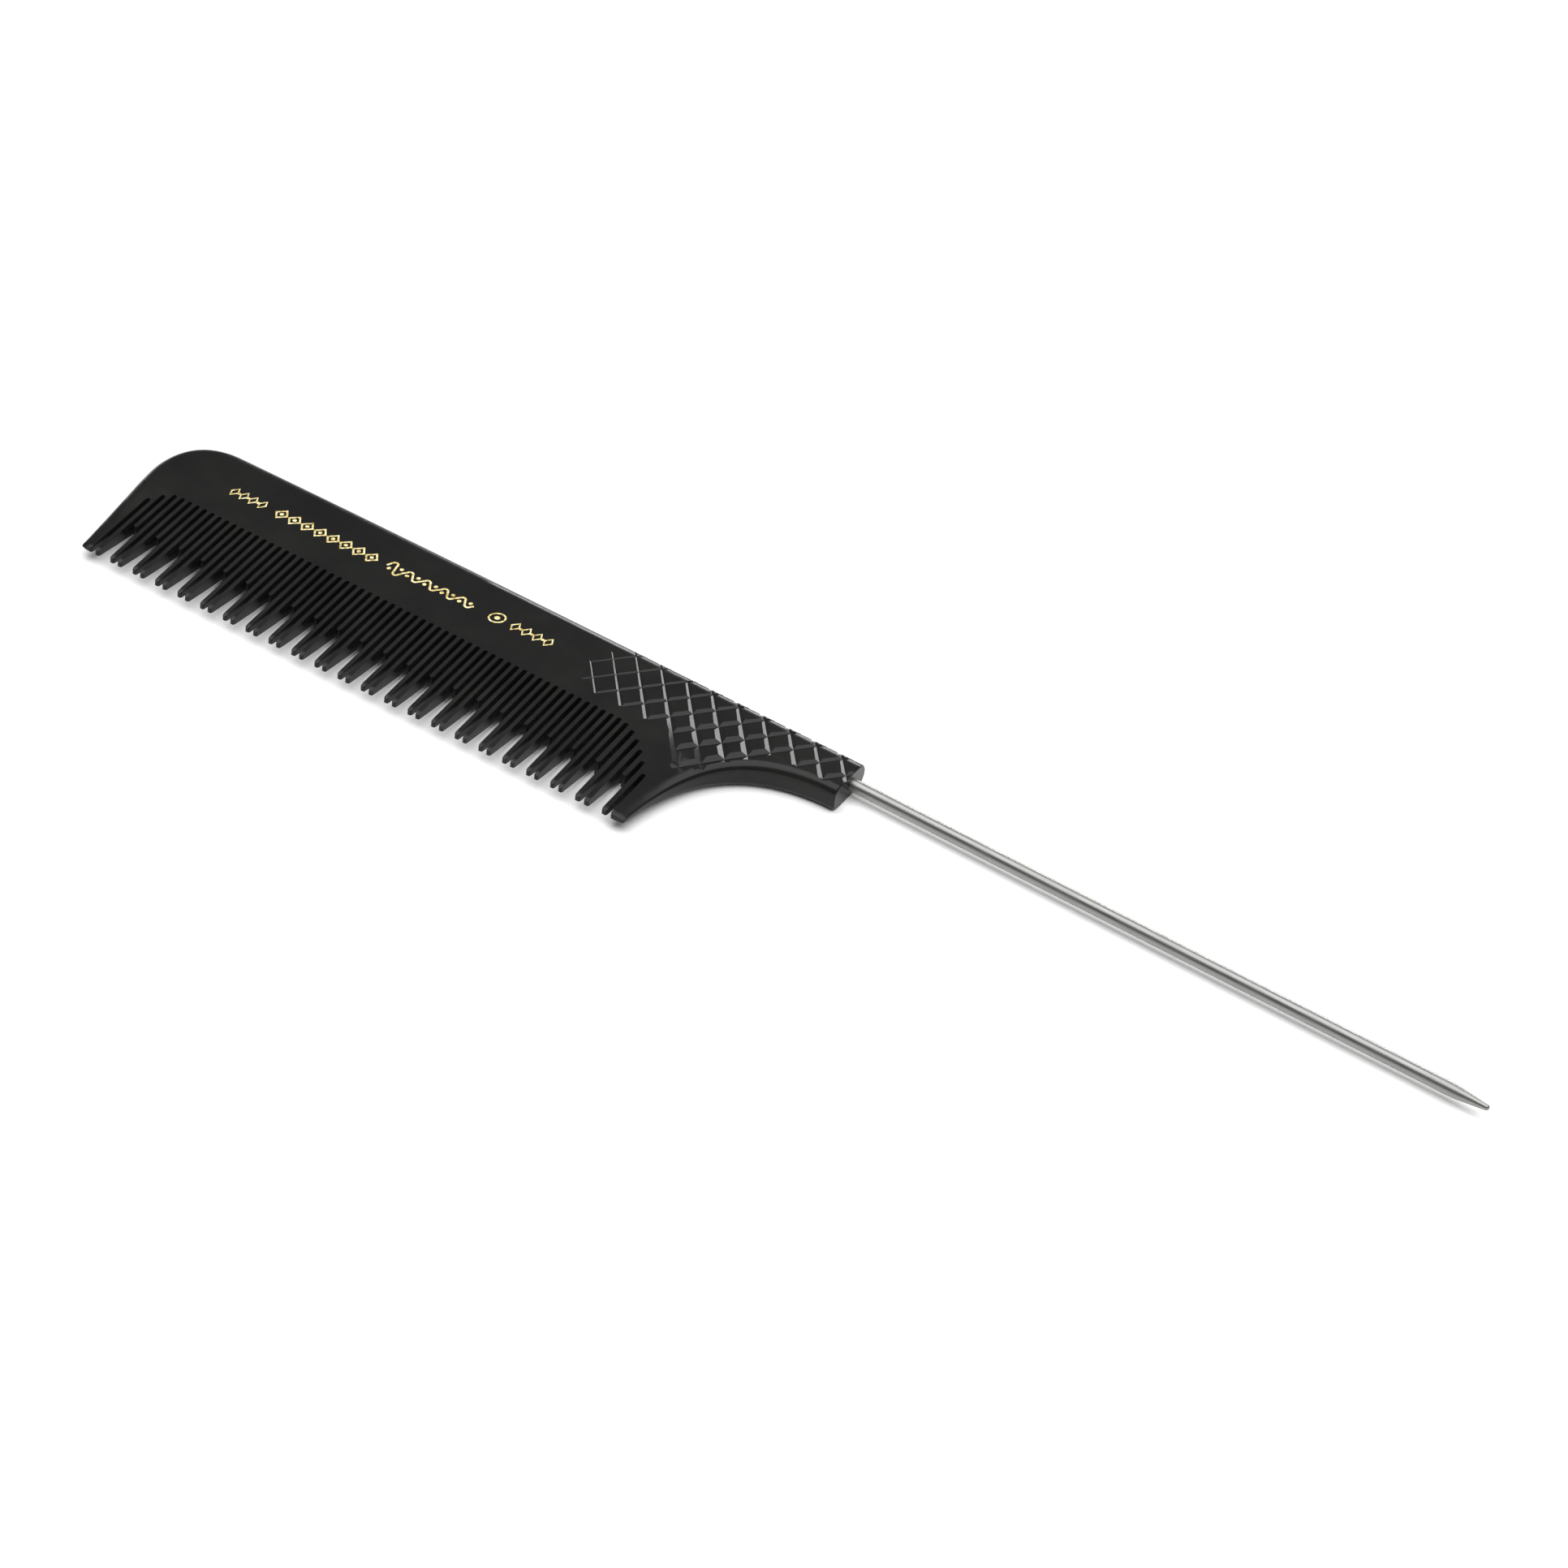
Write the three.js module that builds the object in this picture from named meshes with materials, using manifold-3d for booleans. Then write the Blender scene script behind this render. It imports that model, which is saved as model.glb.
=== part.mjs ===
// Rat tail comb: a sawn hard rubber comb with a knurled grip and a steel tail pin.
// Millimetres. The comb lies flat: +X runs along it to the pin's point, +Y from the teeth
// to the spine, +Z up. The origin is below the middle of the whole comb, on its underside.
import * as THREE from "three";
import { mergeVertices } from "three/addons/utils/BufferGeometryUtils.js";
import Module from "manifold-3d";

const wasm = await Module();
wasm.setup();

// Overall size
const HALF_LENGTH = 108;
const HALF_WIDTH = 15.35;
const THICKNESS = 4.3;
const MIDDLE_Z = THICKNESS / 2;

// Hard rubber body
const END_FACE_X = 8.4; // flat end of the grip, where the pin comes out
const GRIP_EDGE_Y = 6.9; // teeth side edge of the grip at its end face
const CROWN_X = -99.5; // where the rounded crown meets the spine
const SPINE_STRAIGHT_X = -42;
const EDGE_ROUND = 1; // rounding of the outline's edges, in plan
const EDGE_ROUND_Z = 1.1; // and through the thickness
const EDGE_STEPS = 3;

// Teeth
const CREASE_Y = 0.6; // the flat faces end here and the teeth start to thin
const TIP_THICKNESS = 1;
const TIP_ROUND = 0.5;
const SLOT_WIDTH = 0.71;
const SLOT_PITCH = 4 / 3;
const WIDE_PITCH = 1.47; // the last slots beside the grip stand a little wider
const FIRST_SLOT_X = -103.2;
const EVEN_SLOTS = 62;
const WIDE_SLOTS = 5;
const ROOT_Y = 0.6;
const SHORT_TIP_Y = -8.2;
const TIP_FLARE = 0.2; // how far each tooth tip is rounded off sideways

// Knurl, two families of V grooves that cross as diamonds
const KNURL_STEP_X = 4.3; // between the grooves of one family, along the comb
const KNURL_SLOPE = 1.21;
const KNURL_START_X = -33.2;
const KNURL_NODE_X = -31; // the first crossing
const KNURL_NODE_Y = 5.5;
const KNURL_LINES = 12;
const GROOVE_DEPTH = 0.2;
const GROOVE_DEEPER = 0.025; // added for each further line towards the end face

// Tail pin
const PIN_RADIUS = 1;
const PIN_AXIS_Y = 11.75; // where the axis leaves the end face
const PIN_POINT_Y = 10.6; // where it ends: the pin leans slightly to the teeth side
const PIN_ROOT = 25; // length held inside the grip
const POINT_LENGTH = 6;
const POINT_RADIUS = 0.45;
const BORE_GAP = 0.05;
const ROUND_STEPS = 24;

// A closed geometry as a manifold-3d solid.
function toSolid(geometry) {
  const bare = geometry.clone();
  bare.deleteAttribute("normal");
  bare.deleteAttribute("uv");
  const merged = mergeVertices(bare, 1e-4);
  const corners = [];
  const index = merged.index.array;
  for (let i = 0; i < index.length; i += 3) {
    const [a, b, c] = [index[i], index[i + 1], index[i + 2]];
    if (a !== b && b !== c && c !== a) corners.push(a, b, c);
  }
  return new wasm.Manifold(
    new wasm.Mesh({
      numProp: 3,
      vertProperties: merged.attributes.position.array,
      triVerts: new Uint32Array(corners),
    }),
  );
}

// A manifold-3d solid as a named mesh.
function toMesh(solid, name, material) {
  const made = solid.getMesh();
  const geometry = new THREE.BufferGeometry();
  geometry.setAttribute("position", new THREE.BufferAttribute(made.vertProperties, 3));
  geometry.setIndex(new THREE.BufferAttribute(made.triVerts, 1));
  geometry.computeVertexNormals();
  const mesh = new THREE.Mesh(geometry, material);
  mesh.name = name;
  return mesh;
}

// A flat outline in X and Y, pushed through the thickness and past both faces.
function throughCutter(shape, steps = 4) {
  const depth = THICKNESS + 2;
  const geometry = new THREE.ExtrudeGeometry(shape, {
    depth,
    bevelEnabled: false,
    curveSegments: steps,
  });
  return toSolid(geometry.translate(0, 0, -1));
}

// Plan of the body: guard tooth, crown, spine, grip and the hollow below the grip.
function bodyPlan() {
  const plan = new THREE.Shape();
  plan.moveTo(-104.4, -HALF_WIDTH);
  plan.lineTo(-11.95, -HALF_WIDTH);
  plan.bezierCurveTo(-10.9, -1.5, -5.6, 7, END_FACE_X, GRIP_EDGE_Y);
  plan.lineTo(END_FACE_X + 4, GRIP_EDGE_Y);
  plan.lineTo(END_FACE_X + 4, HALF_WIDTH);
  plan.lineTo(SPINE_STRAIGHT_X, HALF_WIDTH);
  plan.quadraticCurveTo(-75, HALF_WIDTH, CROWN_X, 14.9);
  plan.bezierCurveTo(-105, 14.6, -HALF_LENGTH, 11, -HALF_LENGTH, 5.2);
  plan.quadraticCurveTo(-HALF_LENGTH, 3, -107.4, 0);
  plan.lineTo(-105.2, -HALF_WIDTH);
  return plan;
}

// The plan as a plate of full thickness with its edges rounded.
function roundedPlate() {
  const geometry = new THREE.ExtrudeGeometry(bodyPlan(), {
    depth: THICKNESS - 2 * EDGE_ROUND_Z,
    bevelThickness: EDGE_ROUND_Z,
    bevelSize: EDGE_ROUND,
    bevelOffset: -EDGE_ROUND,
    bevelSegments: EDGE_STEPS,
    curveSegments: 16,
  });
  return toSolid(geometry.translate(0, 0, EDGE_ROUND_Z));
}

// Section across the comb: a full round spine, flat faces, then teeth that thin to their tips.
function sectionBar() {
  const radius = THICKNESS / 2;
  const tip = TIP_THICKNESS / 2;
  const section = new THREE.Shape();
  section.moveTo(CREASE_Y, radius);
  section.lineTo(HALF_WIDTH - radius, radius);
  section.absarc(HALF_WIDTH - radius, 0, radius, Math.PI / 2, -Math.PI / 2, true);
  section.lineTo(CREASE_Y, -radius);
  section.lineTo(TIP_ROUND - HALF_WIDTH, -tip);
  section.absarc(TIP_ROUND - HALF_WIDTH, 0, tip, -Math.PI / 2, -1.5 * Math.PI, true);
  section.closePath();
  const length = END_FACE_X + HALF_LENGTH + 2;
  const geometry = new THREE.ExtrudeGeometry(section, {
    depth: length,
    bevelEnabled: false,
    curveSegments: 10,
  });
  // The section is drawn in X and Y and pushed along Z: turn it to Y, Z and X.
  const turn = new THREE.Matrix4().makeBasis(
    new THREE.Vector3(0, 1, 0),
    new THREE.Vector3(0, 0, 1),
    new THREE.Vector3(1, 0, 0),
  );
  geometry.applyMatrix4(turn);
  return toSolid(geometry.translate(END_FACE_X - length, 0, MIDDLE_Z));
}

// Middle of each slot along the comb, from the crown to the grip.
const slotX = [];
for (let i = 0; i < EVEN_SLOTS + WIDE_SLOTS; i++) {
  const even = Math.min(i, EVEN_SLOTS - 1);
  const wide = i - even;
  slotX.push(FIRST_SLOT_X + even * SLOT_PITCH + wide * WIDE_PITCH);
}

// The row of roots follows the root line and drops in a curve at both ends.
function rootY(x) {
  const fromCrown = Math.max(0, -100 - x);
  const fromGrip = Math.max(0, x + 23.5);
  return ROOT_Y - 0.4 * fromCrown ** 1.7 - 0.126 * fromGrip ** 1.83;
}

// A saw slot with a round root, flared where it leaves the tooth tips.
function slotCutter(x) {
  const half = SLOT_WIDTH / 2;
  const root = rootY(x) - half;
  const shape = new THREE.Shape();
  shape.moveTo(x - half - TIP_FLARE, -HALF_WIDTH - 1);
  shape.lineTo(x + half + TIP_FLARE, -HALF_WIDTH - 1);
  shape.lineTo(x + half + TIP_FLARE, -HALF_WIDTH);
  shape.lineTo(x + half, -HALF_WIDTH + 0.9);
  shape.lineTo(x + half, root);
  shape.absarc(x, root, half, 0, Math.PI, false);
  shape.lineTo(x - half, -HALF_WIDTH + 0.9);
  shape.lineTo(x - half - TIP_FLARE, -HALF_WIDTH);
  shape.closePath();
  return throughCutter(shape, 3);
}

// The space below a short tooth, between its two neighbouring slots.
function shortToothCutter(left, right) {
  const half = SLOT_WIDTH / 2;
  const shape = new THREE.Shape();
  shape.moveTo(left, -HALF_WIDTH - 1);
  shape.lineTo(right, -HALF_WIDTH - 1);
  shape.lineTo(right, SHORT_TIP_Y + half);
  shape.lineTo(right - half, SHORT_TIP_Y + half);
  shape.lineTo(right - half - TIP_FLARE, SHORT_TIP_Y);
  shape.lineTo(left + half + TIP_FLARE, SHORT_TIP_Y);
  shape.lineTo(left + half, SHORT_TIP_Y + half);
  shape.lineTo(left, SHORT_TIP_Y + half);
  shape.closePath();
  return throughCutter(shape);
}

// A V groove between two points of a face: a flattened bar on edge, sunk to the given depth.
function grooveCutter(from, to, z, depth) {
  const along = new THREE.Vector3().subVectors(to, from);
  const side = 4 * depth;
  const bar = new THREE.BoxGeometry(along.length(), side, side);
  bar.rotateX(Math.PI / 4);
  bar.scale(1, 1, 0.5);
  bar.rotateZ(Math.atan2(along.y, along.x));
  const outward = Math.sign(z - MIDDLE_Z);
  const edgeBelowMiddle = side / Math.SQRT2 / 2;
  const middle = z + outward * (edgeBelowMiddle - depth);
  bar.translate((from.x + to.x) / 2, (from.y + to.y) / 2, middle);
  return toSolid(bar);
}

// The knurl covers the grip from its start to the end face, above a line that first runs
// level, then drops beside the last teeth and climbs again along the hollow.
function insideKnurl(x, y) {
  const level = 2.9;
  const drop = level - (x + 16.4) * KNURL_SLOPE;
  const climb = -3.2 + (x + 11.4) * KNURL_SLOPE;
  const floor = Math.min(level, Math.max(drop, climb));
  const overGrip = Math.min(8, climb);
  return x > KNURL_START_X && y > (x > -11.4 ? overGrip : floor);
}

// The part of one groove that lies inside the knurl, or nothing where it misses it.
function grooveEnds(nodeX, rising) {
  const inside = [];
  for (let rise = -12; rise <= HALF_WIDTH - KNURL_NODE_Y + 1; rise += 0.1) {
    const x = nodeX + (rising * rise) / KNURL_SLOPE;
    const y = KNURL_NODE_Y + rise;
    if (insideKnurl(x, y)) inside.push(new THREE.Vector3(x, y, 0));
  }
  const from = inside[0];
  const to = inside[inside.length - 1];
  return from && from.distanceTo(to) > 2 && from.x < END_FACE_X && [from, to];
}

// Both families of grooves, on the upper face and the underside.
function knurlCutters() {
  const cutters = [];
  for (const rising of [1, -1]) {
    for (let i = -1; i < KNURL_LINES; i++) {
      const ends = grooveEnds(KNURL_NODE_X + i * KNURL_STEP_X, rising);
      if (!ends) continue;
      const depth = GROOVE_DEPTH + i * GROOVE_DEEPER;
      cutters.push(grooveCutter(...ends, THICKNESS, depth));
      cutters.push(grooveCutter(...ends, 0, depth));
    }
  }
  return cutters;
}

// The pin's axis, from its hidden root to its point.
const pinLean = Math.atan2(PIN_POINT_Y - PIN_AXIS_Y, HALF_LENGTH - END_FACE_X);
const pinRootX = END_FACE_X - PIN_ROOT;
const pinRootY = PIN_AXIS_Y - PIN_ROOT * Math.tan(pinLean);
const pinLength = (HALF_LENGTH - pinRootX) / Math.cos(pinLean);

// A turned piece from its profile of [distance along the axis, radius] pairs.
function turnedOnPinAxis(profile) {
  const points = profile.map(([along, radius]) => new THREE.Vector2(radius, along));
  const geometry = new THREE.LatheGeometry(points, ROUND_STEPS);
  geometry.rotateZ(-Math.PI / 2 + pinLean);
  return toSolid(geometry.translate(pinRootX, pinRootY, MIDDLE_Z));
}

function pinProfile() {
  const profile = [
    [0, 0],
    [0, PIN_RADIUS - 0.2],
    [0.2, PIN_RADIUS],
  ];
  // Ring grooves that key the root into the rubber.
  for (let i = 0; i < 3; i++) {
    const start = 3 + i * 4;
    profile.push([start, PIN_RADIUS], [start + 0.3, PIN_RADIUS - 0.25]);
    profile.push([start + 1.2, PIN_RADIUS - 0.25], [start + 1.5, PIN_RADIUS]);
  }
  profile.push([pinLength - POINT_LENGTH, PIN_RADIUS]);
  profile.push([pinLength - POINT_RADIUS, POINT_RADIUS]);
  for (const turn of [0.35, 0.7, 1]) {
    const angle = (turn * Math.PI) / 2;
    const along = pinLength - POINT_RADIUS * (1 - Math.sin(angle));
    profile.push([along, turn === 1 ? 0 : POINT_RADIUS * Math.cos(angle)]);
  }
  return profile;
}

const hardRubber = new THREE.MeshStandardMaterial({ color: 0x232323, roughness: 0.35, metalness: 0 });
const steel = new THREE.MeshStandardMaterial({ color: 0xb4b4b2, roughness: 0.3, metalness: 1 });

let body = roundedPlate().intersect(sectionBar());
for (const x of slotX) body = body.subtract(slotCutter(x));
// Every third tooth is short: it stands between slots 1 and 2, 4 and 5, and so on.
for (let i = 1; i + 1 < slotX.length; i += 3) {
  body = body.subtract(shortToothCutter(slotX[i], slotX[i + 1]));
}
for (const cutter of knurlCutters()) body = body.subtract(cutter);
const boreRadius = (PIN_RADIUS + BORE_GAP) / Math.cos(Math.PI / ROUND_STEPS);
const bore = turnedOnPinAxis([
  [-0.1, 0],
  [-0.1, boreRadius],
  [PIN_ROOT + 3, boreRadius],
  [PIN_ROOT + 3, 0],
]);
body = body.subtract(bore);

const comb = new THREE.Group();
comb.name = "rat_tail_comb";
comb.add(toMesh(body, "comb_body", hardRubber));
comb.add(toMesh(turnedOnPinAxis(pinProfile()), "tail_pin", steel));

export default comb;
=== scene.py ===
import math

import bmesh
import bpy
from mathutils import Matrix, Vector


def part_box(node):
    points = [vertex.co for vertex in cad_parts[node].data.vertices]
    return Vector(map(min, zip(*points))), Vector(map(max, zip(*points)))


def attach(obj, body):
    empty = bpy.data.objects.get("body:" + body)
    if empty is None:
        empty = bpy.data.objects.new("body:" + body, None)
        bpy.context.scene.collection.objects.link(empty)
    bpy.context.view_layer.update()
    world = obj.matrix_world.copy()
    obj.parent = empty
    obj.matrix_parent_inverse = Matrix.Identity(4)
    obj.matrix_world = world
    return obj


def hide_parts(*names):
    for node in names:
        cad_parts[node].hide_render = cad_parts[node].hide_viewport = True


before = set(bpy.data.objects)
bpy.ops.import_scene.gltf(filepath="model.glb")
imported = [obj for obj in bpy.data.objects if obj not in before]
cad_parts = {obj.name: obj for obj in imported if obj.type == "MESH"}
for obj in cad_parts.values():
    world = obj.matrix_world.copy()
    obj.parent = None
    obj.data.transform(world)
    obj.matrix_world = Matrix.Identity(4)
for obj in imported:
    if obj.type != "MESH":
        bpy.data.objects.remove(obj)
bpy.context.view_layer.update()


# ---------------------------------------------------------------------------------------------
# Comb plate: one pressed sheet of hard rubber (ebonite), cut to outline. Spine and crown are
# turned fully round, the hollow below the grip keeps an upright wall between soft edges, and
# both faces are ground thinner from the root line down to the tooth tips.
# ---------------------------------------------------------------------------------------------
MM = 0.001
body_low, body_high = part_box("comb_body")
THICKNESS = body_high.z - body_low.z
MIDDLE_Z = (body_high.z + body_low.z) / 2
TIPS_Y = body_low.y
SPINE_Y = body_high.y
END_FACE_X = body_high.x
TIP_THICKNESS = 1.0 * MM
CREASE_Y = 0.6 * MM
WELD = 0.001 * MM
STRAIGHT = math.radians(0.02)


def deselect_everything():
    if bpy.context.object and bpy.context.object.mode != "OBJECT":
        bpy.ops.object.mode_set(mode="OBJECT")
    bpy.ops.object.select_all(action="DESELECT")


def pick(piece):
    deselect_everything()
    piece.select_set(True)
    bpy.context.view_layer.objects.active = piece


def start_edit(piece):
    pick(piece)
    bpy.ops.object.mode_set(mode="EDIT")
    bpy.ops.mesh.select_all(action="SELECT")


def end_edit():
    bpy.ops.object.mode_set(mode="OBJECT")


def choose(piece, kind, test):
    """In edit mode, selects only the vertices, edges or faces that pass the test."""
    bpy.ops.mesh.select_mode(type=kind)
    bpy.ops.mesh.select_all(action="DESELECT")
    shape = bmesh.from_edit_mesh(piece.data)
    items = {"VERT": shape.verts, "EDGE": shape.edges, "FACE": shape.faces}[kind]
    for item in items:
        if test(item):
            item.select_set(True)
    bmesh.update_edit_mesh(piece.data)


def slice_chosen(place, outward, **clearing):
    """In edit mode, cuts the chosen faces along a plane."""
    bpy.ops.mesh.bisect(plane_co=place, plane_no=outward, threshold=WELD, **clearing)


def settle(piece, name):
    """Puts the piece's place into its mesh, so that its object sits at the origin."""
    pick(piece)
    bpy.ops.object.transform_apply(location=True, rotation=True, scale=True)
    piece.name = name
    piece.data.name = name
    return piece


def apply_modifier(piece, kind, **settings):
    pick(piece)
    modifier = piece.modifiers.new(kind.lower(), kind)
    for key, value in settings.items():
        setattr(modifier, key, value)
    bpy.ops.object.modifier_apply(modifier=modifier.name)


def boolean(piece, operation, other):
    apply_modifier(piece, "BOOLEAN", operation=operation, solver="EXACT", object=other)
    bpy.data.objects.remove(other)


def join(pieces):
    deselect_everything()
    for piece in pieces:
        piece.select_set(True)
    bpy.context.view_layer.objects.active = pieces[0]
    bpy.ops.object.join()
    return pieces[0]


def outline_plate(name, corners, thickness, curve_steps, edge_radius=0.0, edge_steps=0):
    """A plate round MIDDLE_Z from an outline in millimetres, with its edges rounded inwards.

    A corner is (x, y) where straight sides meet, or (x, y, arriving handle, leaving handle).
    """
    deselect_everything()
    bpy.ops.curve.primitive_bezier_curve_add(location=(0, 0, MIDDLE_Z))
    plate = bpy.context.object
    plate.data.dimensions = "2D"
    plate.data.fill_mode = "BOTH"
    plate.data.resolution_u = curve_steps
    plate.data.extrude = thickness / 2 - edge_radius
    plate.data.bevel_depth = edge_radius
    plate.data.bevel_resolution = edge_steps
    plate.data.offset = -edge_radius
    outline = plate.data.splines[0]
    outline.bezier_points.add(len(corners) - 2)
    outline.use_cyclic_u = True
    for point, corner in zip(outline.bezier_points, corners):
        kind = "VECTOR" if len(corner) == 2 else "FREE"
        point.handle_left_type = point.handle_right_type = kind
        point.co = Vector((corner[0], corner[1], 0)) * MM
        if kind == "FREE":
            point.handle_left = Vector((*corner[2], 0)) * MM
            point.handle_right = Vector((*corner[3], 0)) * MM
    pick(plate)
    bpy.ops.object.convert(target="MESH")
    plate = settle(bpy.context.object, name)
    start_edit(plate)
    bpy.ops.mesh.remove_doubles(threshold=WELD)
    bpy.ops.mesh.dissolve_limited(angle_limit=STRAIGHT)
    bpy.ops.mesh.select_all(action="SELECT")
    bpy.ops.mesh.normals_make_consistent(inside=False)
    end_edit()
    return plate


# The pressed blank, round all along its edge and longer than the comb at its square sides.
# Its edge is all but a half circle: a thread of upright wall is left between the two halves.
BLANK_OUTLINE = [
    (-103.8, -25),
    (20, -25),
    (20, 15.35),
    (-42, 15.35, (-30, 15.35), (-64, 15.35)),
    (-99.5, 14.9, (-84, 15.2), (-105, 14.6)),
    (-108, 5.2, (-108, 11), (-108, 3.7)),
    (-107.4, 0, (-107.65, 1.7), (-106.9, -3.5)),
]
OUTLINE_STEPS = 24
UPRIGHT_THREAD = 0.01 * MM
BLANK_EDGE_STEPS = 8
comb = outline_plate(
    "hard_rubber_comb",
    BLANK_OUTLINE,
    THICKNESS,
    OUTLINE_STEPS,
    THICKNESS / 2 - UPRIGHT_THREAD,
    BLANK_EDGE_STEPS,
)

# The hollow between the last tooth and the grip's end is milled out and its rims rounded over.
# The cutters reach a millimetre past both faces.
THROUGH = THICKNESS + 2 * MM
HOLLOW_OUTLINE = [
    (-11.95, -15.35, (-11.95, -17), (-10.9, -1.5)),
    (8.4, 6.9, (-5.6, 7.0), (9.5, 6.9)),
    (24, 6.9, (20, 6.9), (24, 2)),
    (24, -28),
    (-11.95, -28, (-8, -28), (-11.95, -24)),
]
HOLLOW_LEFT_X = -12.5 * MM
HOLLOW_TOP_Y = 7.2 * MM
BLANK_END_X = 19 * MM
BLANK_END_Y = -24 * MM
RIM_RADIUS = 1.4 * MM
RIM_STEPS = 6
boolean(comb, "DIFFERENCE", outline_plate("hollow", HOLLOW_OUTLINE, THROUGH, OUTLINE_STEPS))
start_edit(comb)


def on_hollow_rim(edge):
    """Edges where the hollow's upright wall meets one of the faces."""
    a, b = (vert.co for vert in edge.verts)
    near_face = abs(abs(a.z - MIDDLE_Z) - THICKNESS / 2) < 2 * UPRIGHT_THREAD
    level = abs(a.z - b.z) < UPRIGHT_THREAD
    middle = (a + b) / 2
    beside_hollow = middle.x > HOLLOW_LEFT_X and middle.y < HOLLOW_TOP_Y
    at_blank_end = middle.x > BLANK_END_X or middle.y < BLANK_END_Y
    return near_face and level and beside_hollow and not at_blank_end


choose(comb, "EDGE", on_hollow_rim)
bpy.ops.mesh.bevel(offset=RIM_RADIUS, segments=RIM_STEPS, clamp_overlap=False)

# The grip is sawn off square and the plate's lower side cut along the tooth tips. Both cuts
# are then rounded over: the cut face moves on in steps while it draws in from its edges.
END_RIM = 0.28 * MM
TIP_NOSE = 0.85 * MM
TIP_CORNER = 0.35 * MM
ROUNDING_STEPS = 5
FACES_THAT_WAY = 0.999


def round_over(place, outward, reach, draw_in):
    """Cuts the plate off short of a place and closes it with a rounded edge."""
    outward = Vector(outward)
    cut = Vector(place) - outward * reach
    bpy.ops.mesh.select_all(action="SELECT")
    slice_chosen(cut, outward, use_fill=True, clear_outer=True)
    choose(
        comb,
        "FACE",
        lambda face: face.normal.dot(outward) > FACES_THAT_WAY
        and abs((face.calc_center_median() - cut).dot(outward)) < WELD,
    )
    shape = bmesh.from_edit_mesh(comb.data)
    chosen = [vert.co.copy() for vert in shape.verts if vert.select]
    low = Vector([min(spot[axis] for spot in chosen) for axis in range(3)])
    high = Vector([max(spot[axis] for spot in chosen) for axis in range(3)])
    middle = (low + high) / 2
    size = high - low
    gone = 0.0
    drawn = 0.0
    for step in range(1, ROUNDING_STEPS + 1):
        angle = step / ROUNDING_STEPS * math.pi / 2
        forward = reach * math.sin(angle) - gone
        gone += forward
        was = [1 - 2 * drawn * draw_in[axis] / max(size[axis], MM) for axis in range(3)]
        drawn = 1 - math.cos(angle)
        now = [1 - 2 * drawn * draw_in[axis] / max(size[axis], MM) for axis in range(3)]
        bpy.ops.mesh.extrude_region_move(TRANSFORM_OT_translate={"value": outward * forward})
        bpy.ops.transform.resize(
            value=[new / old for new, old in zip(now, was)],
            center_override=middle + outward * gone,
        )


round_over((END_FACE_X, 0, 0), (1, 0, 0), END_RIM, (0, END_RIM, END_RIM))
round_over((0, TIPS_Y, 0), (0, -1, 0), TIP_NOSE, (TIP_CORNER, 0, TIP_NOSE))

# The crease from which the faces are ground: level along the comb, then rising beside the grip.
RISE_START_X = -21.3 * MM
RISE_END_X = -16.7 * MM
RISEN_CREASE_Y = 2.9 * MM
for cut_x in (RISE_START_X, RISE_END_X):
    bpy.ops.mesh.select_all(action="SELECT")
    slice_chosen((cut_x, 0, 0), (1, 0, 0))
choose(comb, "FACE", lambda face: face.calc_center_bounds().x < RISE_START_X)
slice_chosen((0, CREASE_Y, 0), (0, 1, 0))
choose(comb, "FACE", lambda face: RISE_START_X < face.calc_center_bounds().x < RISE_END_X)
rise = math.atan2(RISEN_CREASE_Y - CREASE_Y, RISE_END_X - RISE_START_X)
slice_chosen((RISE_START_X, CREASE_Y, 0), (-math.sin(rise), math.cos(rise), 0))
choose(comb, "FACE", lambda face: face.calc_center_bounds().x > RISE_END_X)
slice_chosen((0, RISEN_CREASE_Y, 0), (0, 1, 0))


def grind(piece):
    """Brings a piece in edit mode down to the ground faces, from the crease to the tips."""
    shape = bmesh.from_edit_mesh(piece.data)
    for vert in shape.verts:
        climbed = min(1, max(0, (vert.co.x - RISE_START_X) / (RISE_END_X - RISE_START_X)))
        crease = CREASE_Y + climbed * (RISEN_CREASE_Y - CREASE_Y)
        along = min(1, max(0, (crease - vert.co.y) / (crease - TIPS_Y)))
        kept = 1 - along * (1 - TIP_THICKNESS / THICKNESS)
        vert.co.z = MIDDLE_Z + (vert.co.z - MIDDLE_Z) * kept
    bmesh.update_edit_mesh(piece.data)


grind(comb)
end_edit()


# ---------------------------------------------------------------------------------------------
# Teeth: the slots are sawn into the plate with a thin disc, so they have straight sides and
# round roots, and every third tooth is sawn off short. The tips are tumbled to blunt noses.
# ---------------------------------------------------------------------------------------------
SLOT_WIDTH = 0.71
SLOT_PITCH = 4 / 3
WIDE_PITCH = 1.47
FIRST_SLOT_X = -103.2
EVEN_SLOTS = 62
WIDE_SLOTS = 5
SHORT_TIP_Y = -8.2
SHORT_TOOTH_EVERY = 3
TIP_ROUND = 0.27
TIP_LINE_Y = -15.35
PAST_TIPS_Y = TIP_LINE_Y - 1
SLOT_CURVE_STEPS = 4
CIRCLE_HANDLE = 0.552

# The roots stand in a level row that falls away beside the crown and beside the grip.
ROOT_ROW_Y = 0.65
CROWN_SIDE_X = -100
CROWN_FALL = 0.4
CROWN_FALL_POWER = 1.7
GRIP_SIDE_X = -23.5
GRIP_FALL = 0.126
GRIP_FALL_POWER = 1.83

slot_x = [FIRST_SLOT_X + i * SLOT_PITCH for i in range(EVEN_SLOTS)]
slot_x += [slot_x[-1] + i * WIDE_PITCH for i in range(1, WIDE_SLOTS + 1)]


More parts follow.
